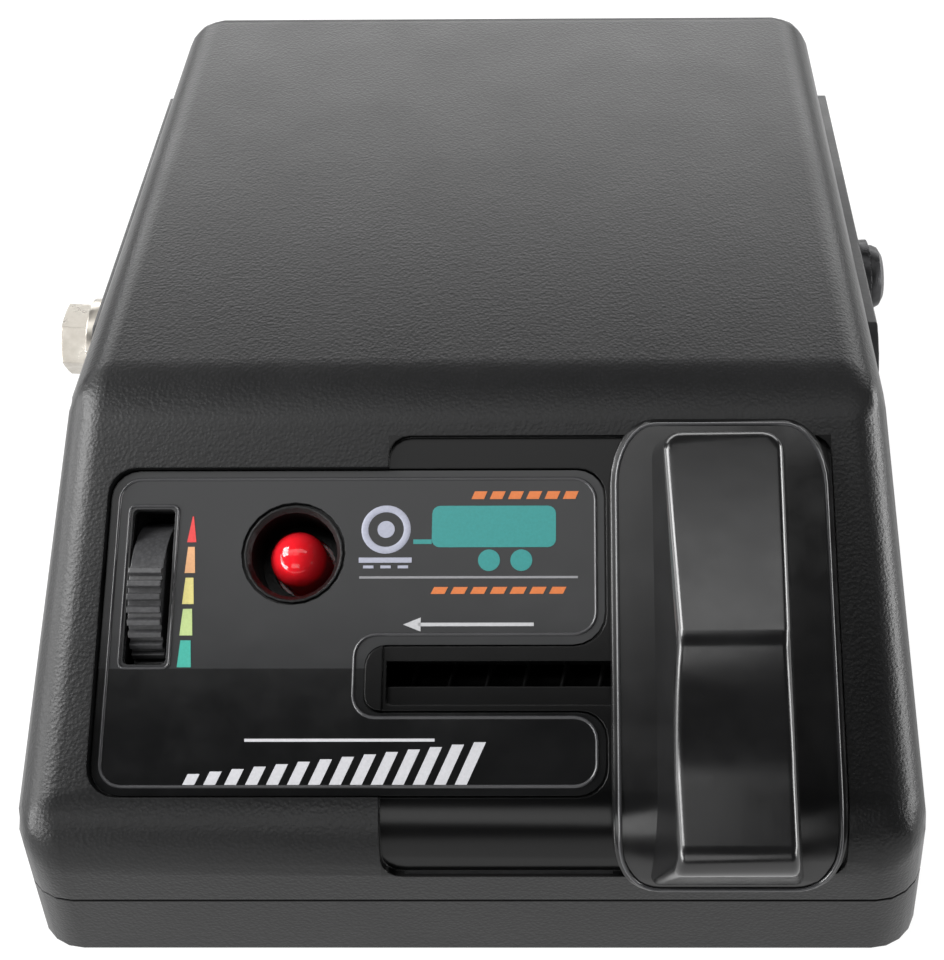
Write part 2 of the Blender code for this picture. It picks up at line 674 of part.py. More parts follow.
# ---------------------------------------------------------------- lamp
def make_lamp():
    profile = [(0, -8.8), (2.9, -8.8), (2.9, -7.8), (2.5, -7.8), (2.5, -3.7)]
    for k in range(1, 5):
        a = math.pi / 2 * k / 5
        profile.append((2.5 * cos(a), -3.7 + 2.5 * sin(a)))
    profile.append((0, -1.2))
    lens = turned(profile, (LAMP_X, LAMP_S), FACE)
    finish(lens, "lamp_lens", LAMP_RED, FACE @ Vector((LAMP_X, LAMP_S, -8.8)), 35)

    foot = FACE @ Vector((LAMP_X, LAMP_S, -11.5))
    for name, x in (("lamp_lead_left", LAMP_X - 1.27), ("lamp_lead_right", LAMP_X + 1.27)):
        start = FACE @ Vector((x, LAMP_S, -9.1))
        bend = FACE @ Vector((x, LAMP_S, -11.5))
        path = [start, bend, (x, foot.y + 0.6, foot.z - 1.4), (x, foot.y + 0.6, BOARD_HIGH + 0.3)]
        finish(wire(path, 0.26, 8), name, TIN)


# ---------------------------------------------------------------- board and electronics
def make_board():
    outline = rectangle(-BOARD_HALF_WIDTH, BOARD_HALF_WIDTH, BOARD_FRONT, BOARD_BACK)
    board = prism(rounded(outline, [1.5] * 4, 3), BOARD_LOW, BOARD_HIGH)
    for x, y in CASE_SCREWS[:2]:
        corner = rectangle(x - 5, x + 5, y - 5, y + 4.4)
        cut(board, prism(corner, 0, 12))
    for x, y in BOARD_SCREWS:
        cut(board, rod(1.6, 0, 12, (x, y), steps=20))
    finish(board, "circuit_board", BOARD_GREEN)

    low = BOARD_HIGH + 0.1
    chips = [("controller_chip", -4.0, 14.0, 10.0, 18.0, 2.6), ("driver_chip", 12.0, 10.0, 6.0, 8.0, 1.8)]
    for name, x, y, wide, deep, tall in chips:
        chip = box((x - wide / 2, x + wide / 2), (y - deep / 2, y + deep / 2), (low, low + tall))
        soften(chip, 0.3, 1)
        cut(chip, rod(0.9, low + tall - 0.4, low + tall + 1, (x, y + deep / 2), steps=16))
        finish(chip, name, CHIP_BLACK)

    cans = [("capacitor_large", -20.0, 36.0, 5.0, 16.0), ("capacitor_small", -20.0, 48.0, 4.0, 12.0)]
    for name, x, y, radius, tall in cans:
        high = low + tall
        profile = [(0, low), (radius - 0.3, low), (radius, low + 0.4), (radius, low + 1.4)]
        profile += [(radius - 0.35, low + 1.8), (radius, low + 2.2), (radius, high - 0.5)]
        profile += [(radius - 0.5, high), (0, high)]
        finish(turned(profile, (x, y), steps=18), name, CAN_BLUE)

    shunt = box((13.0, 19.5), (22.0, 42.0), (low, low + 6.4))
    finish(soften(shunt, 0.4, 1), "shunt_resistor", CERAMIC)

    terminals = box((-11.0, 11.0), (50.0, 57.5), (low, low + 8.0))
    soften(terminals, 0.4, 1)
    for k in range(4):
        x = -7.5 + 5.0 * k
        cut(terminals, box((x - 1.7, x + 1.7), (55.0, 60.0), (low + 1.6, low + 6.4)))
    finish(terminals, "wire_terminal_block", NYLON)


def make_power_stage():
    low = BOARD_HIGH + 0.2
    # vertical aluminium plate with four cooling ribs towards the back
    sink = box((-9.0, 9.0), (44.0, 48.6), (low, 28.0))
    for x in (-5.5, 0.0, 5.5):
        cut(sink, box((x - 2.0, x + 2.0), (45.8, 50.0), (0.0, 40.0)))
    cut(sink, rod(1.9, 40, 50, (0, 23.0), FRONT, 20))
    finish(sink, "heat_sink", ALUMINIUM)

    tab = box((-5.0, 5.0), (42.5, 43.8), (11.0, 27.0))
    cut(tab, rod(1.9, 40, 46, (0, 23.0), FRONT, 20))
    join(tab, box((-5.0, 5.0), (39.2, 42.8), (10.6, 19.6)))
    for x in (-2.54, 0, 2.54):
        join(tab, box((x - 0.4, x + 0.4), (40.6, 41.1), (low + 0.1, 11.2)))
    finish(tab, "power_transistor", CHIP_BLACK)

    place = FRONT
    screw = rod(1.5, 40.8, 45.2, (0, 23.0), place, 20)
    join(screw, rod(2.8, 40.4, 42.2, (0, 23.0), place, 24))
    cut(screw, box((-3.5, 3.5), (22.65, 23.35), (39.8, 41.1), place))
    finish(screw, "transistor_screw", ZINC)


# ---------------------------------------------------------------- cable gland
def make_gland():
    wall_back = BACK_Y + (HEIGHT - GLAND_Z) * tan(BACK_DRAFT)
    profile = [
        (0, wall_back - WALL - 2.4),
        (8.0, wall_back - WALL - 2.4),
        (8.0, wall_back - WALL - 0.6),
        (6.0, wall_back - WALL - 0.6),
        (6.0, wall_back + 0.6),
        (8.2, wall_back + 0.6),
        (8.2, wall_back + 1.6),
        (7.4, wall_back + 2.2),
        (5.6, wall_back + 2.2),
        (5.2, GLAND_END_Y - 0.4),
        (4.8, GLAND_END_Y),
        (0, GLAND_END_Y),
    ]
    gland = turned(profile, (0, GLAND_Z), FRONT)
    cut(gland, rod(GLAND_BORE, 50, 90, (0, GLAND_Z), FRONT))
    finish(gland, "cable_gland", RUBBER)


# ---------------------------------------------------------------- bracket
def make_bracket():
    def inner(z):
        return wall_x(z) + GAP / cos(SIDE_DRAFT)

    def outer(z):
        return inner(z) + ARM_THICKNESS / cos(SIDE_DRAFT)

    section = [(outer(ARM_TOP), ARM_TOP), (outer(0), 0), (-outer(0), 0), (-outer(ARM_TOP), ARM_TOP)]
    section += [(-inner(ARM_TOP), ARM_TOP), (-inner(ARM_THICKNESS), ARM_THICKNESS)]
    section += [(inner(ARM_THICKNESS), ARM_THICKNESS), (inner(ARM_TOP), ARM_TOP)]
    cuts = [0.2, 1.5, 1.5, 0.2, 0.2, 0.3, 0.3, 0.2]
    bracket = prism(rounded(section, cuts, 3), ARM_FRONT, ARM_BACK, FRONT)
    side_view = rectangle(ARM_FRONT, ARM_BACK, -2, ARM_TOP + 1)
    trim = prism(rounded(side_view, [0, 0, 3.0, (6.5, 6.5)], 6), -60, 60, SIDE)
    common(bracket, trim)
    for side in (-1, 1):
        for y in BOLT_YS:
            cut(bracket, rod(2.5, -2, 5, place=wall_frame(side, y, BOLT_Z), steps=20))
        x = side * SLOT_X
        cut(bracket, prism(long_slot(x, SLOT_Y, SLOT_HALF_LENGTH, SLOT_HALF_WIDTH), -2, 4))
    finish(bracket, "mounting_bracket", BLACK_PAINT)


def make_bracket_hardware():
    outside = GAP + ARM_THICKNESS
    seat = outside + 1.2

    # hexagon bolt in the left arm's front hole
    place = wall_frame(-1, BOLT_YS[0], BOLT_Z)
    hexagon = circle(3.67, steps=6)
    chamfer = [(0, 0), (6, 0), (6, seat + 2.0), (3.3, seat + 2.6), (0, seat + 2.6)]
    head = common(prism(hexagon, seat, seat + 2.6, place), turned(chamfer, place=place))
    bolt = rod(2.0, -8.2, seat + 0.8, place=place, steps=24)
    finish(join(bolt, head), "bracket_bolt_left", ZINC)
    washer = ring(4.3, 2.3, seat - 1.1, seat - 0.1, place=place, steps=28)
    finish(washer, "bracket_washer_left", ZINC)

    # low round-headed bolt with a hexagon socket in the right arm's rear hole
    place = wall_frame(1, BOLT_YS[1], BOLT_Z)
    dome = [(0, seat), (3.4, seat), (3.4, seat + 0.4)]
    dome += [(3.1, seat + 1.0), (2.4, seat + 1.4), (0, seat + 1.6)]
    bolt = join(rod(2.0, -8.2, seat + 0.3, place=place, steps=24), turned(dome, place=place))
    cut(bolt, prism(circle(1.4, steps=6), seat + 0.6, seat + 3.0, place))
    finish(bolt, "bracket_bolt_right", BLACK_OXIDE)
    washer = ring(4.0, 2.3, seat - 1.1, seat - 0.1, place=place, steps=28)
    finish(washer, "bracket_washer_right", BLACK_OXIDE)

    for side, word in ((-1, "left"), (1, "right")):
        for y, end in zip(BOLT_YS, ("front", "rear")):
            place = wall_frame(side, y, BOLT_Z)
            insert = ring(3.0, 2.3, -7.4, -0.4, place=place, steps=18)
            finish(insert, "bracket_insert_" + word + "_" + end, BRASS)


def cross_recess(x, y, low, high, reach, width):
    """Cross-shaped driver recess."""
    arm_a = box((x - reach, x + reach), (y - width, y + width), (low, high))
    arm_b = box((x - width, x + width), (y - reach, y + reach), (low, high))
    return join(arm_a, arm_b)


def make_screws():
    for k, (x, y) in enumerate(CASE_SCREWS):
        screw = rod(1.2, 1.5, 13.5, (x, y), steps=10)
        head = turned([(0, 0.3), (2.4, 0.3), (2.8, 0.7), (2.8, 2.0), (0, 2.0)], (x, y), steps=16)
        join(screw, head)
        cut(screw, cross_recess(x, y, -1, 1.2, 1.7, 0.35))
        finish(screw, "case_screw_%d" % (k + 1), BLACK_OXIDE)
    for k, (x, y) in enumerate(BOARD_SCREWS):
        low = BOARD_HIGH + 0.1
        profile = [(0, 3.0), (1.1, 3.0), (1.1, low)]
        profile += [(2.4, low), (2.4, low + 0.9), (1.9, low + 1.5), (0, low + 1.5)]
        screw = turned(profile, (x, y), steps=14)
        finish(screw, "board_screw_%d" % (k + 1), ZINC)


# ---------------------------------------------------------------- build
for old in list(bpy.data.objects):
    bpy.data.objects.remove(old)

make_top_housing()
make_bottom_cover()
make_face_label()
make_slide_knob()
make_slide_mechanism()
make_gain_wheel()
make_sync_wheel()
make_lamp()
make_board()
make_power_stage()
make_gland()
make_bracket()
make_bracket_hardware()
make_screws()
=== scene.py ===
"""Looks for the trailer brake controller unit.

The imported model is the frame. This script gives every piece its material, adds the printed
graphics and small visible details, and sets the floor, the lights and the camera.
Sizes in this file are millimetres unless a name or a comment says otherwise.
On the sloped control face x runs across, s down the slope and h out of it.
"""
import math
from math import cos, radians, sin, tan

import bmesh
import bpy
from mathutils import Matrix, Vector


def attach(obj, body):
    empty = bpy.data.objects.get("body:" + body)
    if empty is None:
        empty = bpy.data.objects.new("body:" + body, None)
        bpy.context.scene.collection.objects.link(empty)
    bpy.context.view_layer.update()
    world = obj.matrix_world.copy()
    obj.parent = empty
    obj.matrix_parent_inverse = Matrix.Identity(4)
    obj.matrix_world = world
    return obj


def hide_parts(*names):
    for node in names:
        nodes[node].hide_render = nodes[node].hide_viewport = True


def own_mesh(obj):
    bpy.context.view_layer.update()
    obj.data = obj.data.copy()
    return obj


MM = 0.001

# ---- the case's own sizes, as the CAD has them
HEIGHT = 35.6
FACE_ANGLE = radians(29.5)
FACE_START_Y = 17.78         # how far in front of the origin the slope starts
FACE_LENGTH = 39.7
NOSE_RADIUS = 8.0
FRONT_DRAFT = radians(3.0)
TRACK_LEFT, TRACK_RIGHT = -7.5, 31.4
TRACK_TOP = 4.7
TRACK_FOOT_Z = 11.4
LABEL_LEFT, LABEL_RIGHT = -31.8, 11.4
LABEL_TOP, LABEL_FOOT = 7.7, 35.7
LABEL_HIGH = -0.72
WINDOW_LEFT, WINDOW_RIGHT = -29.75, -26.15
WINDOW_TOP, WINDOW_FOOT = 11.2, 24.7
LAMP_X, LAMP_S = -15.6, 15.1
SKIRT_LEFT, SKIRT_RIGHT = 11.8, 31.0
SKIRT_TOP, SKIRT_HIGH = 3.7, 2.0
ROD_S, ROD_H = 25.5, -6.4

# ---- a little wider than the CAD has them, so that the looks reach past an edge
NOTCH_LEFT, NOTCH_TOP, NOTCH_FOOT = -9.25, 22.95, 29.0
LAMP_WELL_RADIUS = 4.15

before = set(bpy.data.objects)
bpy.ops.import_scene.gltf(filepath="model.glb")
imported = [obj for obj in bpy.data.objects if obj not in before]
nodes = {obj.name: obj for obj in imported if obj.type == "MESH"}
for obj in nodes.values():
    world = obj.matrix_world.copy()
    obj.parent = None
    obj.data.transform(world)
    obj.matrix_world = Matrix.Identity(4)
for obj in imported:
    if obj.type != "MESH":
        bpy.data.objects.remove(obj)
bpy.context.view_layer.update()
scene = bpy.context.scene

DOWN_SLOPE = Vector((0, -cos(FACE_ANGLE), -sin(FACE_ANGLE)))
OUT_OF_SLOPE = Vector((0, -sin(FACE_ANGLE), cos(FACE_ANGLE)))


def on_face(x, s, h):
    """World point, in metres, that is x across, s down and h out of the sloped control face."""
    start = Vector((x, -FACE_START_Y, HEIGHT))
    return (start + DOWN_SLOPE * s + OUT_OF_SLOPE * h) * MM


# ---------------------------------------------------------------- node materials
def scaled(colour, factor):
    """The same colour, lighter or darker."""
    return tuple(c * factor for c in colour)


class Look:
    """A Principled material and short calls that wire procedural nodes into it."""

    def __init__(self, name, colour, roughness, metallic=0.0):
        self.made = bpy.data.materials.new(name)
        self.made.use_nodes = True
        self.tree = self.made.node_tree
        self.shader = self.tree.nodes["Principled BSDF"]
        self.set("Base Color", (*colour, 1.0))
        self.set("Roughness", roughness)
        self.set("Metallic", metallic)
        self.place = self.node("ShaderNodeTexCoord").outputs["Object"]
        self.normal = None

    def set(self, socket, value):
        """One constant on the shader's own socket."""
        self.shader.inputs[socket].default_value = value

    def node(self, kind, **settings):
        made = self.tree.nodes.new(kind)
        for key, value in settings.items():
            setattr(made, key, value)
        return made

    def link(self, output, socket):
        self.tree.links.new(output, socket)

    def colour_from(self, output):
        self.link(output, self.shader.inputs["Base Color"])

    def roughness_from(self, output):
        self.link(output, self.shader.inputs["Roughness"])

    def stretched(self, scale):
        """Object coordinates scaled along each axis."""
        mapping = self.node("ShaderNodeMapping")
        mapping.inputs["Scale"].default_value = scale
        self.link(self.place, mapping.inputs["Vector"])
        return mapping.outputs["Vector"]

    def noise(self, size, detail=3.0, rough=0.5, vector=None):
        """Fractal noise whose features are about size millimetres across."""
        made = self.node("ShaderNodeTexNoise")
        made.inputs["Scale"].default_value = 1.0 / (size * MM)
        made.inputs["Detail"].default_value = detail
        made.inputs["Roughness"].default_value = rough
        self.link(vector or self.place, made.inputs["Vector"])
        return made.outputs["Fac"]

    def cells(self, size, smooth=0.6):
        """Distance from the middle of smooth cells about size millimetres across."""
        made = self.node("ShaderNodeTexVoronoi", feature="SMOOTH_F1")
        made.inputs["Scale"].default_value = 1.0 / (size * MM)
        made.inputs["Smoothness"].default_value = smooth
        self.link(self.place, made.inputs["Vector"])
        return made.outputs["Distance"]

    def spread(self, value, low, high, start=0.0, end=1.0):
        """Value mapped from start..end to low..high."""
        made = self.node("ShaderNodeMapRange")
        made.inputs["From Min"].default_value = start
        made.inputs["From Max"].default_value = end
        made.inputs["To Min"].default_value = low
        made.inputs["To Max"].default_value = high
        self.link(value, made.inputs["Value"])
        return made.outputs["Result"]

    def drift(self, noise, low, high):
        """Noise mapped to low..high; nearly all of it lies between 0.3 and 0.7."""
        return self.spread(noise, low, high, 0.3, 0.7)

    def blend(self, factor, first, second):
        """Colour mix by a factor; each colour is a triple or a socket."""
        made = self.node("ShaderNodeMix", data_type="RGBA")
        self.link(factor, made.inputs[0])
        for socket, value in ((made.inputs[6], first), (made.inputs[7], second)):
            if isinstance(value, tuple):
                socket.default_value = (*value, 1.0)
            else:
                self.link(value, socket)
        return made.outputs[2]

    def maths(self, operation, first, second):
        """One sum on two values, each a socket or a number."""
        made = self.node("ShaderNodeMath", operation=operation)
        for socket, value in zip(made.inputs, (first, second)):
            if isinstance(value, (int, float)):
                socket.default_value = value
            else:
                self.link(value, socket)
        return made.outputs["Value"]

    def times(self, first, second):
        return self.maths("MULTIPLY", first, second)

    def plus(self, first, second):
        return self.maths("ADD", first, second)

    def inside(self, value, low, high):
        """1 where low < value < high; the value is in metres and the limits in millimetres."""
        above = self.maths("GREATER_THAN", value, low * MM)
        below = self.maths("LESS_THAN", value, high * MM)
        return self.times(above, below)

    def face_places(self):
        """Sockets that give x, s and z of the shaded point, in metres."""
        apart = self.node("ShaderNodeSeparateXYZ")
        self.link(self.place, apart.inputs["Vector"])
        x, y, z = (apart.outputs[axis] for axis in "XYZ")
        over_y = self.times(y, -cos(FACE_ANGLE))
        over_z = self.times(z, -sin(FACE_ANGLE))
        start = (HEIGHT * sin(FACE_ANGLE) - FACE_START_Y * cos(FACE_ANGLE)) * MM
        return x, self.plus(self.plus(over_y, over_z), start), z

    def bump(self, height, depth):
        """Surface relief of depth millimetres, on top of any already there."""
        made = self.node("ShaderNodeBump")
        made.inputs["Strength"].default_value = 1.0
        made.inputs["Distance"].default_value = depth * MM
        self.link(height, made.inputs["Height"])
        if self.normal:
            self.link(self.normal, made.inputs["Normal"])
        self.normal = made.outputs["Normal"]
        self.link(self.normal, self.shader.inputs["Normal"])

    def worn_edges(self, radius):
        """Edges rounded by radius millimetres; it comes before any bump."""
        made = self.node("ShaderNodeBevel", samples=4)
        made.inputs["Radius"].default_value = radius * MM
        self.normal = made.outputs["Normal"]
        self.link(self.normal, self.shader.inputs["Normal"])

    def pebbled_tint(self, pebbles, colour):
        """Colour a fifth lighter in the middle of each cell and a fifth darker at its rim."""
        rim = self.spread(pebbles, 0.0, 1.0, 0.1, 0.7)
        return self.blend(rim, scaled(colour, 1.20), scaled(colour, 0.80))

    def mould_ripple(self, ripple_depth, scratch_depth):
        """A slow ripple from the mould and fine handling scratches across a glossy surface."""
        self.bump(self.noise(6.0, 2.0, 0.5), ripple_depth)
        along_x = self.stretched((1.0, 0.06, 0.06))
        self.bump(self.noise(0.35, 2.0, 0.6, along_x), scratch_depth)

    def smears(self, low, high):
        """Roughness that finger smears move between low and high."""
        self.roughness_from(self.drift(self.noise(5.0, 5.0, 0.65), low, high))


def moulded(name, colour, roughness, grain, depth, gloss=0.5):
    """Moulded plastic with a fine pebbled grain, faint flow marks and slightly uneven sheen."""
    look = Look(name, colour, roughness)
    look.set("Specular IOR Level", gloss)
    look.worn_edges(0.15)
    pebbles = look.cells(grain)
    look.bump(pebbles, depth)
    look.bump(look.noise(grain * 0.45, 3.0, 0.6), depth * 0.5)
    cloud = look.noise(9.0, 4.0, 0.55)
    look.roughness_from(look.drift(cloud, roughness - 0.03, roughness + 0.035))
    look.colour_from(look.pebbled_tint(pebbles, colour))
    return look.made


def case_look(name, colour, roughness):
    """Fine-grained case plastic that is smooth and glossier where the slide lever's skirt runs,
    with painted shade in the lamp's well.
    """
    beyond_nose = 90
    under_skirt = 12
    smooth_roughness = 0.20
    smooth_shade = 0.20
    well_painted_shade = (0.002, 0.002, 0.002)

    look = Look(name, colour, roughness)
    x, s, z = look.face_places()
    across = look.inside(x, TRACK_LEFT, TRACK_RIGHT)
    track = look.times(across, look.inside(s, TRACK_TOP, beyond_nose))
    track = look.times(track, look.maths("GREATER_THAN", z, TRACK_FOOT_Z * MM))
    across = look.inside(x, NOTCH_LEFT, under_skirt)
    notch = look.times(across, look.inside(s, NOTCH_TOP, NOTCH_FOOT))
    smooth = look.maths("MAXIMUM", track, notch)
    rough = look.maths("SUBTRACT", 1.0, smooth)

    # painted shade: the lamp's well is coloured darker, as light hardly gets into it
    x_squared = look.maths("POWER", look.plus(x, -LAMP_X * MM), 2.0)
    s_squared = look.maths("POWER", look.plus(s, -LAMP_S * MM), 2.0)
    well_squared = (LAMP_WELL_RADIUS * MM) ** 2
    well = look.maths("LESS_THAN", look.plus(x_squared, s_squared), well_squared)

    look.set("Specular IOR Level", 0.28)
    look.worn_edges(0.15)
    pebbles = look.cells(0.30)
    fine = look.noise(0.15, 3.0, 0.6)
    look.bump(look.times(pebbles, rough), 0.020)
    look.bump(look.times(fine, rough), 0.010)
    look.bump(look.noise(5.0, 2.0, 0.5), 0.012)

    cloud = look.noise(9.0, 4.0, 0.55)
    grained = look.drift(cloud, roughness - 0.025, roughness + 0.03)
    smoothed = look.times(smooth, smooth_roughness)
    look.roughness_from(look.plus(look.times(grained, rough), smoothed))
    tint = look.pebbled_tint(pebbles, colour)
    tint = look.blend(smooth, tint, scaled(colour, smooth_shade))
    look.colour_from(look.blend(well, tint, well_painted_shade))
    return look.made


def label_look(name):
    """Glossy black face label with a painted reflection: a lighter charcoal above a line and plain
    black below it.
    """
    # painted reflection: the charcoal above the line stands in for a lamp's reflection that ends
    # there
    reflection_line = 25.1
    soft_edge = 0.06
    painted_sheen_greys = (0.0175, 0.0179, 0.0187), (0.0217, 0.0221, 0.0229)
    black = (0.0036, 0.0037, 0.0039)

    look = Look(name, black, 0.16)
    look.set("Specular IOR Level", 0.40)
    look.worn_edges(0.05)
    look.mould_ripple(0.018, 0.0012)
    look.smears(0.12, 0.20)
    s = look.face_places()[1]
    line_start, line_end = (reflection_line - soft_edge) * MM, (reflection_line + soft_edge) * MM
    below = look.spread(s, 0.0, 1.0, line_start, line_end)
    painted_sheen_grey = look.blend(look.noise(14.0, 2.0, 0.5), *painted_sheen_greys)
    look.colour_from(look.blend(below, painted_sheen_grey, black))
    return look.made


def polished(name, colour, roughness, gloss=0.5):
    """Glossy moulded plastic with a slow ripple, fine scratches, faint smears and drifting tint."""
    look = Look(name, colour, roughness)
    look.set("Specular IOR Level", gloss)
    look.mould_ripple(0.024, 0.0014)
    look.smears(roughness * 0.80, roughness * 1.35)
    tint = look.noise(14.0, 2.0, 0.5)
    look.colour_from(look.blend(tint, scaled(colour, 0.88), scaled(colour, 1.14)))
    return look.made


def metal(name, colour, roughness, stretch=(1.0, 1.0, 0.05), edge=0.1, stain=(0.0, 0.0, 0.0)):
    """Drawn or plated metal: fine lines along one axis, uneven plating and a little staining."""
    look = Look(name, colour, roughness, 1.0)
    if edge:
        look.worn_edges(edge)
    look.bump(look.noise(0.12, 3.0, 0.6, look.stretched(stretch)), 0.006)
    patches = look.noise(1.6, 4.0, 0.6)
    look.roughness_from(look.drift(patches, roughness * 0.75, roughness * 1.4))
    dull = tuple(c + s for c, s in zip(scaled(colour, 0.78), stain))
    look.colour_from(look.blend(look.spread(patches, 0.0, 1.0, 0.35, 0.75), colour, dull))
    return look.made


def coated(name, colour, roughness):
    """Powder-coated steel with an orange-peel surface."""
    look = Look(name, colour, roughness)
    look.worn_edges(0.2)
    look.bump(look.noise(0.5, 3.0, 0.55), 0.02)
    cloud = look.noise(7.0, 4.0, 0.6)
    look.roughness_from(look.drift(cloud, roughness - 0.06, roughness + 0.08))
    look.colour_from(look.blend(cloud, scaled(colour, 0.85), scaled(colour, 1.25)))
    return look.made


def printed(name, colour, roughness=0.35):
    """Screen-printed ink with a fine grain and slightly patchy cover and sheen."""
    look = Look(name, colour, roughness)
    grain = look.noise(0.22, 3.0, 0.6)
    look.bump(grain, 0.004)
    look.colour_from(look.blend(look.drift(grain, 0.0, 1.0), scaled(colour, 0.86), colour))
    look.roughness_from(look.drift(look.noise(2.0), roughness * 0.8, roughness * 1.2))
    return look.made


def lens_red(name):
    """Deep red tinted epoxy with a glossy dome."""
    look = Look(name, (0.85, 0.015, 0.025), 0.08)
    look.set("Transmission Weight", 0.25)
    look.set("IOR", 1.5)
    look.set("Subsurface Weight", 0.35)
    look.set("Subsurface Radius", (0.003, 0.0004, 0.0004))
    look.set("Subsurface Scale", 1.0)
    look.bump(look.noise(1.2, 2.0), 0.006)
    streaks = look.noise(1.0, 3.0)
    look.colour_from(look.blend(streaks, (0.76, 0.012, 0.020), (0.88, 0.018, 0.030)))
    look.roughness_from(look.spread(streaks, 0.05, 0.12))
    return look.made


def board_look(name):
    """Solder mask with copper tracks showing faintly through it."""
    look = Look(name, (0.03, 0.20, 0.09), 0.4)
    tracks = look.node("ShaderNodeTexBrick")
    tracks.inputs["Scale"].default_value = 1.0 / (6.0 * MM)
    tracks.inputs["Mortar Size"].default_value = 0.03
    tracks.inputs["Color1"].default_value = (0.020, 0.150, 0.065, 1)
    tracks.inputs["Color2"].default_value = (0.026, 0.175, 0.075, 1)
    tracks.inputs["Mortar"].default_value = (0.060, 0.290, 0.130, 1)
    look.link(look.place, tracks.inputs["Vector"])
    look.colour_from(tracks.outputs["Color"])
    look.bump(tracks.outputs["Fac"], 0.02)
    look.roughness_from(look.spread(look.noise(3.0), 0.32, 0.48))
    return look.made


# how a metal's fine lines are drawn out: LINES far along one axis, STREAKS only a little
LINES_X, LINES_Y, LINES_Z = (0.05, 1.0, 1.0), (1.0, 0.05, 1.0), (1.0, 1.0, 0.05)
STREAKS_X, STREAKS_Z = (0.3, 1.0, 1.0), (1.0, 1.0, 0.2)

looks = {
    "case": case_look("case_plastic", (0.0062, 0.0063, 0.0066), 0.34),
    "cover": moulded("cover_plastic", (0.0085, 0.0085, 0.0088), 0.38, 0.30, 0.020, gloss=0.28),
    "label": label_look("label_gloss"),
    "knob": polished("knob_gloss", (0.005, 0.005, 0.0052), 0.20, gloss=0.60),
    "wheel": moulded("wheel_plastic", (0.044, 0.044, 0.046), 0.30, 0.30, 0.008),
    "nylon": moulded("nylon", (0.055, 0.055, 0.057), 0.50, 0.5, 0.01),
    "pot": moulded("pot_plastic", (0.050, 0.050, 0.052), 0.45, 0.4, 0.01),
    "shell": metal("plated_shell", (0.60, 0.60, 0.60), 0.30, LINES_Y),
    "zinc": metal("zinc_plate", (0.54, 0.51, 0.46), 0.32, STREAKS_X, 0.15, (0.02, 0.01, 0.0)),
    "black_steel": metal("black_oxide", (0.06, 0.06, 0.062), 0.42, STREAKS_X, 0.15),
    "dark_wire": metal("phosphate_wire", (0.012, 0.012, 0.012), 0.60, STREAKS_X, 0.0),
    "brass": metal("turned_brass", (0.72, 0.52, 0.22), 0.28, LINES_X),
    "tin": metal("tinned_wire", (0.75, 0.75, 0.74), 0.25, LINES_Z),
    "aluminium": metal("extruded_aluminium", (0.74, 0.75, 0.76), 0.34, LINES_Z),
    "can": metal("capacitor_sleeve", (0.04, 0.07, 0.24), 0.30, STREAKS_Z),
    "chip": moulded("chip_compound", (0.022, 0.022, 0.023), 0.55, 0.25, 0.01),
    "ceramic": moulded("ceramic", (0.74, 0.72, 0.66), 0.70, 0.30, 0.02),
    "rubber": moulded("gland_rubber", (0.018, 0.018, 0.018), 0.68, 0.35, 0.02),
    "bracket": coated("bracket_coat", (0.020, 0.020, 0.021), 0.42),
    "lamp": lens_red("lamp_epoxy"),
    "board": board_look("solder_mask"),
}

ENDS = ["left_front", "left_rear", "right_front", "right_rear"]
CASE_SCREWS = ["case_screw_%d" % k for k in range(1, 5)]
BOARD_SCREWS = ["board_screw_%d" % k for k in range(1, 5)]
USED_BY = {
    "case": ["top_housing"],
    "cover": ["bottom_cover"],
    "label": ["face_label"],
    "knob": ["slide_knob"],
    "wheel": ["gain_wheel", "sync_wheel"],
    "nylon": ["slide_carriage", "slide_pot_lever", "wire_terminal_block"],
    "pot": ["gain_pot_body", "sync_pot_body"],
    "shell": ["slide_pot_body"],
    "zinc": ["bracket_bolt_left", "bracket_washer_left", "transistor_screw"] + BOARD_SCREWS,
    "black_steel": ["bracket_bolt_right", "bracket_washer_right"] + CASE_SCREWS,
    "dark_wire": ["slide_guide_rod", "slide_return_spring"],
    "brass": ["bracket_insert_" + end for end in ENDS],
    "tin": ["lamp_lead_left", "lamp_lead_right"],
    "aluminium": ["heat_sink"],
    "can": ["capacitor_large", "capacitor_small"],
    "chip": ["controller_chip", "driver_chip", "power_transistor"],
    "ceramic": ["shunt_resistor"],
    "rubber": ["cable_gland"],
    "bracket": ["mounting_bracket"],
    "lamp": ["lamp_lens"],
    "board": ["circuit_board"],
}


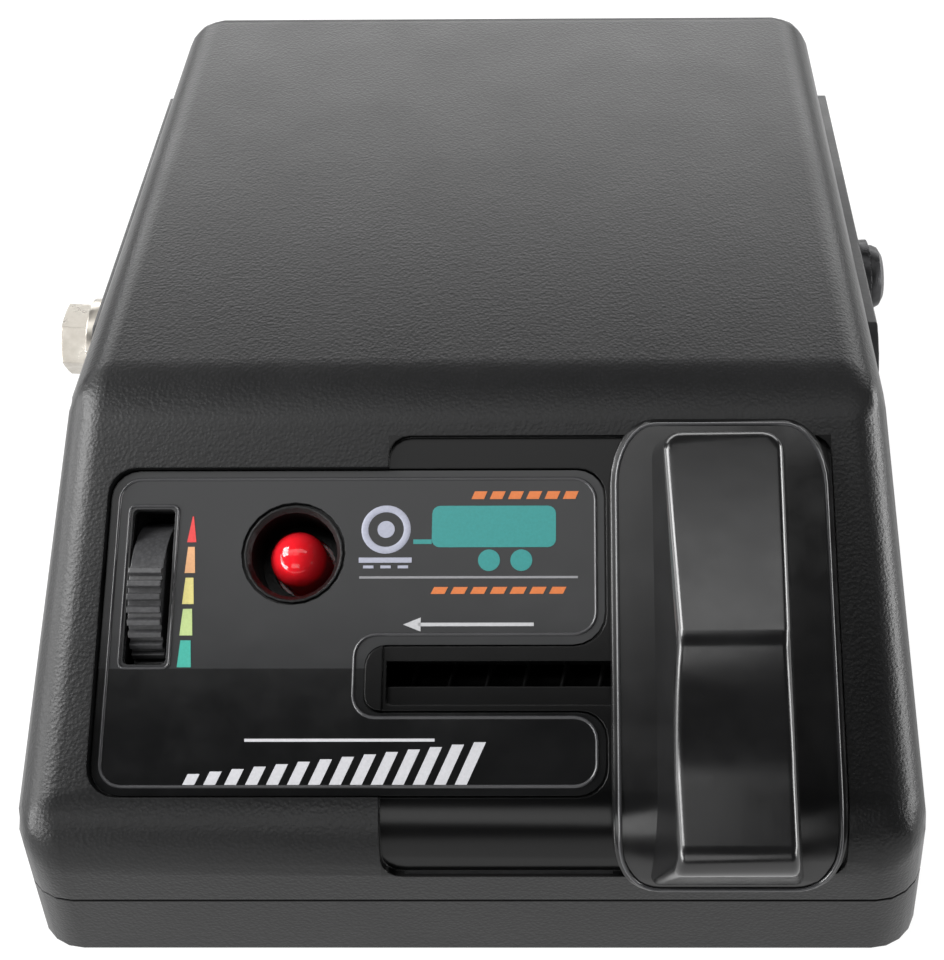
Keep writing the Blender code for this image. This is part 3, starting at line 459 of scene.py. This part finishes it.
# ---------------------------------------------------------------- smooth shading
def smooth_group(angle):
    """Modifier group that welds a piece's facets and shades it smooth up to an angle."""
    group = bpy.data.node_groups.new("smooth_%d" % round(math.degrees(angle)), "GeometryNodeTree")
    for way in ("INPUT", "OUTPUT"):
        group.interface.new_socket("Geometry", in_out=way, socket_type="NodeSocketGeometry")
    start = group.nodes.new("NodeGroupInput")
    end = group.nodes.new("NodeGroupOutput")
    forget = group.nodes.new("GeometryNodeRemoveAttribute")
    forget.inputs["Name"].default_value = "custom_normal"
    weld = group.nodes.new("GeometryNodeMergeByDistance")
    weld.inputs["Distance"].default_value = 0.001 * MM
    edge_angle = group.nodes.new("GeometryNodeInputMeshEdgeAngle")
    is_gentle = group.nodes.new("FunctionNodeCompare")
    is_gentle.data_type = "FLOAT"
    is_gentle.operation = "LESS_THAN"
    is_gentle.inputs["B"].default_value = angle
    edges = group.nodes.new("GeometryNodeSetShadeSmooth")
    edges.domain = "EDGE"
    faces = group.nodes.new("GeometryNodeSetShadeSmooth")
    faces.domain = "FACE"
    faces.inputs["Shade Smooth"].default_value = True
    link = group.links.new
    link(start.outputs["Geometry"], forget.inputs["Geometry"])
    link(forget.outputs["Geometry"], weld.inputs["Geometry"])
    link(weld.outputs["Geometry"], edges.inputs["Geometry"])
    link(edge_angle.outputs["Unsigned Angle"], is_gentle.inputs["A"])
    link(is_gentle.outputs["Result"], edges.inputs["Shade Smooth"])
    link(edges.outputs["Geometry"], faces.inputs["Geometry"])
    link(faces.outputs["Geometry"], end.inputs["Geometry"])
    return group


def dress_cad_nodes():
    """Material and smooth shading on every node that the frame carries over."""
    smooth = smooth_group(radians(30))
    for key, members in USED_BY.items():
        for name in members:
            node = nodes[name]
            node.data.materials.clear()
            node.data.materials.append(looks[key])
            node.modifiers.new("smooth", "NODES").node_group = smooth
            node.modifiers.new("even", "WEIGHTED_NORMAL").keep_sharp = True


dress_cad_nodes()


# ---------------------------------------------------------------- outlines on the control face
def rectangle(x0, x1, s0, s1):
    return [(x0, s0), (x1, s0), (x1, s1), (x0, s1)]


def slanted(x, top, foot, width, lean):
    """Bar with its foot's left end at x, whose top leans to the right."""
    return [(x + lean, top), (x + lean + width, top), (x + width, foot), (x, foot)]


def tapered(middle, top, foot, half_top, half_foot):
    return [(middle - half_top, top), (middle + half_top, top),
            (middle + half_foot, foot), (middle - half_foot, foot)]


def round_outline(x, s, radius, steps=48):
    turns = [2 * math.pi * k / steps for k in range(steps)]
    return [(x + radius * cos(a), s + radius * sin(a)) for a in turns]


def oval_corners(points, cuts, steps=8):
    """Outline whose corners are elliptic: each cut is its reach before and after the corner."""
    result = []
    for i, point in enumerate(points):
        corner = Vector(point)
        before = (Vector(points[i - 1]) - corner).normalized() * cuts[i][0]
        after = (Vector(points[(i + 1) % len(points)]) - corner).normalized() * cuts[i][1]
        for k in range(steps + 1):
            a = math.pi / 2 * k / steps
            result.append(corner + before * (1 - sin(a)) + after * (1 - cos(a)))
    return result


def rounded(points, radius, steps=6):
    """Outline with every corner rounded to the same radius."""
    return oval_corners(points, [(radius, radius)] * len(points), steps)


def grown(points, distance):
    """Closed outline moved outwards along its own normals."""
    result = []
    for i, point in enumerate(points):
        along = (Vector(points[(i + 1) % len(points)]) - Vector(points[i - 1])).normalized()
        result.append(Vector(point) + Vector((along.y, -along.x)) * distance)
    return result


def subdivided(points, longest=0.8):
    """Closed outline with extra points, so that no stretch is longer than a given length."""
    result = []
    for i, point in enumerate(points):
        start, end = Vector(point), Vector(points[(i + 1) % len(points)])
        count = max(1, math.ceil((end - start).length / longest))
        result += [start.lerp(end, k / count) for k in range(count)]
    return result


# ---------------------------------------------------------------- thin pieces
PRINT_THICKNESS = 0.03
BEAD_SECTION = [(-0.50, 0.0), (-0.40, 0.55), (-0.18, 0.92), (0.0, 1.0),
                (0.18, 0.92), (0.40, 0.55), (0.50, 0.0)]


def face_piece(name, points, faces, look, place=on_face, body="case", slot="face_label"):
    """Closed piece from points that place turns into world points; it rides on one body."""
    mesh = bpy.data.meshes.new(name)
    mesh.from_pydata([place(*p) for p in points], [], faces)
    work = bmesh.new()
    work.from_mesh(mesh)
    bmesh.ops.recalc_face_normals(work, faces=work.faces)
    work.to_mesh(mesh)
    work.free()
    piece = bpy.data.objects.new(name, mesh)
    scene.collection.objects.link(piece)
    mesh.materials.append(look)
    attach(piece, body)
    return piece


def ring_faces(rings, sides):
    """Quads between rings of as many points each; every ring joins the next one."""
    faces = []
    for ring, following in rings:
        for i in range(sides):
            j = (i + 1) % sides
            faces.append([ring * sides + i, ring * sides + j,
                          following * sides + j, following * sides + i])
    return faces


def shade_smooth(piece, sharp_from):
    piece.data.shade_smooth()
    piece.data.set_sharp_from_angle(angle=radians(sharp_from))


def plate(name, outline, look):
    """Flat print on the label, with a given outline."""
    count = len(outline)
    points = [(x, s, h) for h in (LABEL_HIGH, LABEL_HIGH + PRINT_THICKNESS) for x, s in outline]
    caps = [list(range(count)), list(range(count, 2 * count))]
    return face_piece(name, points, caps + ring_faces([(0, 1)], count), look)


def bead(name, outline, width, height, look, low=LABEL_HIGH, **where):
    """Rounded bead of a given width that runs along a closed outline."""
    points = []
    for across, up in BEAD_SECTION:
        points += [(x, s, low + up * height) for x, s in grown(outline, across * width)]
    count = len(BEAD_SECTION)
    rings = [(k, (k + 1) % count) for k in range(count)]
    piece = face_piece(name, points, ring_faces(rings, len(outline)), look, **where)
    shade_smooth(piece, 50)
    return piece


def make_lips(look):
    """Raised lips round the label, the wheel's window and the lamp."""
    inset, slot_gap = 0.75, 0.25
    left, right = LABEL_LEFT + inset, LABEL_RIGHT - inset
    top, foot = LABEL_TOP + inset, LABEL_FOOT - inset
    notched = [
        (left, top),
        (right, top),
        (right, NOTCH_TOP - inset),
        (NOTCH_LEFT - inset, NOTCH_TOP - inset),
        (NOTCH_LEFT - inset, NOTCH_FOOT + slot_gap),
        (right, NOTCH_FOOT + slot_gap),
        (right, foot),
        (left, foot),
    ]
    bead("label_lip", rounded(notched, 1.9), 0.30, 0.14, look)
    gap = 0.35
    window = rectangle(WINDOW_LEFT - gap, WINDOW_RIGHT + gap, WINDOW_TOP - gap, WINDOW_FOOT + gap)
    bead("window_lip", rounded(window, 0.5, 4), 0.26, 0.16, look)
    bead("lamp_lip", round_outline(LAMP_X, LAMP_S, 4.05), 0.26, 0.20, look, low=-1.2)


# ---- the case's surface from the slope onto the round nose
NOSE_TURN = radians(90) - FRONT_DRAFT - FACE_ANGLE
NOSE_START = FACE_LENGTH - NOSE_RADIUS * tan(NOSE_TURN / 2)


def on_skirt(x, along, h):
    """World point h out of the case: along runs down the slope, then round the nose.

    Round the nose it is measured on the lever's skirt, which stands SKIRT_HIGH out of the case.
    """
    if along <= NOSE_START:
        return on_face(x, along, h)
    lean = FACE_ANGLE + (along - NOSE_START) / (NOSE_RADIUS + SKIRT_HIGH)
    middle = on_face(x, NOSE_START, -NOSE_RADIUS)
    return middle + Vector((0, -sin(lean), cos(lean))) * (NOSE_RADIUS + h) * MM


def make_skirt_rim(look):
    """Raised rim round the slide lever's skirt; it rides on the lever."""
    inset = 0.62
    sunk = 0.02
    foot = NOSE_START + (NOSE_RADIUS + SKIRT_HIGH) * radians(56.2)
    rim = rectangle(SKIRT_LEFT + inset, SKIRT_RIGHT - inset, SKIRT_TOP + inset, foot - inset)
    rim = oval_corners(rim, [(5.5, 3.4), (3.4, 5.5), (5.0, 3.4), (3.4, 5.0)])
    bead("skirt_rim", subdivided(rim), 0.36, 0.16, look, SKIRT_HIGH - sunk,
         place=on_skirt, body="slide_lever", slot="slide_knob")


# ---------------------------------------------------------------- printed graphics
def make_level_marks():
    """Five tapered marks beside the gain wheel, from a red point down to green."""
    marks = [
        ("mark_red", (0.56, 0.035, 0.035)),
        ("mark_orange", (0.57, 0.30, 0.14)),
        ("mark_yellow", (0.56, 0.50, 0.17)),
        ("mark_lime", (0.37, 0.47, 0.19)),
        ("mark_green", (0.035, 0.30, 0.24)),
    ]
    middle, first_top, pitch, tall = -24.5, 11.8, 2.72, 2.3
    for k, (name, colour) in enumerate(marks):
        top = first_top + pitch * k
        half_top = 0.24 + 0.05 * k if k else 0.05
        outline = tapered(middle, top, top + tall, half_top, 0.40 + 0.05 * k)
        plate(name, outline, printed("ink_" + name, colour))


def make_wheel_sign(ink):
    """A wheel on a road."""
    x, s = -7.6, 13.0
    bead("wheel_ring", round_outline(x, s, 1.85), 0.60, PRINT_THICKNESS, ink)
    plate("wheel_hub", round_outline(x, s, 0.75), ink)
    plate("road_line", rectangle(-9.9, -5.3, 15.5, 15.95), ink)
    for k in range(3):
        start = -9.5 + 1.5 * k
        plate("road_dash_%d" % (k + 1), rectangle(start, start + 0.9, 16.2, 16.45), ink)


def make_trailer_sign(ink):
    """A plain trailer from the side."""
    plate("trailer_body", rounded(rectangle(-3.6, 7.2, 10.9, 14.6), 0.7, 4), ink)
    plate("trailer_bar", rectangle(-5.2, -3.6, 13.9, 14.3), ink)
    for k, x in enumerate((1.4, 4.2)):
        plate("trailer_wheel_%d" % (k + 1), round_outline(x, 15.75, 0.95, 32), ink)


def make_dashes(name, count, start, pitch, top, foot, width, ink):
    for k in range(count):
        outline = slanted(start + pitch * k, top, foot, width, 0.3)
        plate("%s_dash_%d" % (name, k + 1), outline, ink)


def make_level_bars(ink):
    """Rising row of slanted bars with a rule over them."""
    foot, pitch, width = 34.8, 1.75, 1.0
    for k in range(14):
        tall = 0.9 + 0.20 * k
        outline = slanted(-24.0 + pitch * k, foot - tall, foot, width, 0.45 * tall)
        plate("level_bar_%d" % (k + 1), outline, ink)
    plate("level_rule", rectangle(-19.0, -3.0, 31.0, 31.25), ink)


rim_look = polished("rim_gloss", (0.035, 0.035, 0.037), 0.16)
silver = printed("ink_silver", (0.45, 0.45, 0.47))
lavender = printed("ink_lavender", (0.31, 0.32, 0.39))
teal = printed("ink_teal", (0.025, 0.21, 0.20))
orange = printed("ink_orange", (0.52, 0.145, 0.037))
grey = printed("ink_grey", (0.21, 0.21, 0.22))
pale = printed("ink_pale", (0.40, 0.40, 0.41))

make_lips(rim_look)
make_skirt_rim(rim_look)
make_level_marks()
make_wheel_sign(lavender)
make_trailer_sign(teal)
plate("long_rule", rectangle(-9.8, 9.1, 17.15, 17.35), grey)
make_dashes("upper", 6, -0.2, 1.6, 9.6, 10.3, 1.1, orange)
make_dashes("lower", 7, -3.6, 1.7, 18.1, 18.7, 1.2, orange)
# the arrow shows which way the lever slides
plate("slide_arrow_line", rectangle(-4.6, 5.3, 21.2, 21.5), pale)
plate("slide_arrow_head", [(-5.9, 21.35), (-4.4, 20.75), (-4.4, 21.95)], pale)
make_level_bars(silver)


# ---------------------------------------------------------------- return spring
def make_return_spring():
    """Round-wire coil on the guide rod; the real coil closes up as the lever slides, but this one
    stays as built.
    """
    start, end, turns = -12.6, 12.0, 7.5
    radius, wire = 2.05, 0.3
    steps, sides = 30, 10
    count = int(turns * steps)
    points = []
    for i in range(count + 1):
        around = 2 * math.pi * i / steps
        x = start + (end - start) * i / count
        for k in range(sides):
            a = 2 * math.pi * k / sides
            reach = radius + wire * cos(a)
            s, h = ROD_S + reach * cos(around), ROD_H + reach * sin(around)
            points.append((x + wire * sin(a), s, h))
    caps = [list(range(sides)), list(range(count * sides, (count + 1) * sides))]
    faces = caps + ring_faces([(i, i + 1) for i in range(count)], sides)
    spring = face_piece("return_spring_coil", points, faces, looks["dark_wire"],
                        slot="slide_return_spring")
    shade_smooth(spring, 60)
    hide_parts("slide_return_spring")
    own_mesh(spring)


make_return_spring()

# ---------------------------------------------------------------- floor, light, camera
FACE_MIDDLE = on_face(0, 20, 0)
LIGHT_DISTANCE = 0.8         # metres


def softbox(name, compass, tilt, spread, width, radiance, aside=0.0):
    """Rectangular light seen from the unit at a tilt from straight up, towards a compass bearing.

    A bearing of 0 is behind the unit and 90 to its right; angles are in degrees, sizes in metres.
    aside slides the light to the right of that bearing, as seen by someone who faces it.
    """
    bearing, lean = radians(compass), radians(tilt)
    outwards = Vector((sin(lean) * sin(bearing), sin(lean) * cos(bearing), cos(lean)))
    across = Vector((cos(bearing), -sin(bearing), 0))
    light = bpy.data.lights.new(name, "AREA")
    light.shape = "RECTANGLE"
    light.size = width
    light.size_y = 2 * LIGHT_DISTANCE * tan(radians(spread / 2))
    light.energy = radiance * math.pi * light.size * light.size_y
    obj = bpy.data.objects.new(name, light)
    scene.collection.objects.link(obj)
    axes = Matrix((across, outwards.cross(across), outwards)).transposed().to_4x4()
    place = FACE_MIDDLE + outwards * LIGHT_DISTANCE + across * aside
    obj.matrix_world = Matrix.Translation(place) @ axes


def make_floor():
    """Pale paper just under the unit; its glow keeps the whole background evenly white."""
    half, low = 3.0, -0.1 * MM   # metres
    corners = [(x, y, low) for x, y in rectangle(-half, half, -half, half)]
    mesh = bpy.data.meshes.new("floor")
    mesh.from_pydata(corners, [], [(0, 1, 2, 3)])
    floor = bpy.data.objects.new("floor", mesh)
    scene.collection.objects.link(floor)
    look = Look("floor_paper", (0.12, 0.12, 0.12), 0.9)
    look.bump(look.noise(2.0), 0.01)
    look.set("Specular IOR Level", 0.1)
    look.set("Emission Color", (1, 1, 1, 1))
    look.set("Emission Strength", 0.93)
    mesh.materials.append(look.made)


def make_world():
    """Faint even light from all round."""
    world = bpy.data.worlds.new("studio")
    scene.world = world
    world.use_nodes = True
    background = world.node_tree.nodes["Background"]
    background.inputs["Color"].default_value = (1, 1, 1, 1)
    background.inputs["Strength"].default_value = 0.02


def make_camera():
    """Camera at the photograph's place and angle, recovered from the case's straight edges."""
    place = Vector((8.24, -116.54, 125.41)) * MM
    pitch, yaw, roll = radians(45.34), radians(0.73), radians(-0.67)
    forward = Vector((-sin(yaw) * cos(pitch), cos(yaw) * cos(pitch), -sin(pitch)))
    right = Vector((cos(yaw), sin(yaw), 0))
    up = right.cross(forward)
    right, up = right * cos(roll) + up * sin(roll), up * cos(roll) - right * sin(roll)
    data = bpy.data.cameras.new("camera")
    data.lens = 56.25
    data.shift_x = -0.0857
    data.shift_y = -0.0160
    data.clip_start = 0.001
    camera = bpy.data.objects.new("camera", data)
    scene.collection.objects.link(camera)
    axes = Matrix((right, up, -forward)).transposed().to_4x4()
    camera.matrix_world = Matrix.Translation(place) @ axes
    scene.camera = camera


make_floor()
make_world()
make_camera()
# name, compass, tilt, spread, width, radiance, aside
softbox("overhead_front", 180, 14.5, 14.0, 0.70, 1.35, 0.245)
softbox("overhead", 0, 0.0, 15.0, 1.2, 2.3)
softbox("behind", 0, 66.5, 24.0, 1.4, 4.5)
softbox("left_high", 275, 49.0, 24.0, 0.5, 18.0)
softbox("left_front", 236, 83.0, 13.0, 0.5, 16.0)
softbox("left_low", 270, 78.0, 20.0, 0.9, 6.0)
softbox("right_low", 86, 81.0, 14.0, 0.9, 14.0)
softbox("front", 180, 66.0, 18.0, 0.50, 2.4, 0.12)
softbox("glint", 296, 38.0, 3.0, 0.05, 30.0)

scene.view_settings.view_transform = "Standard"
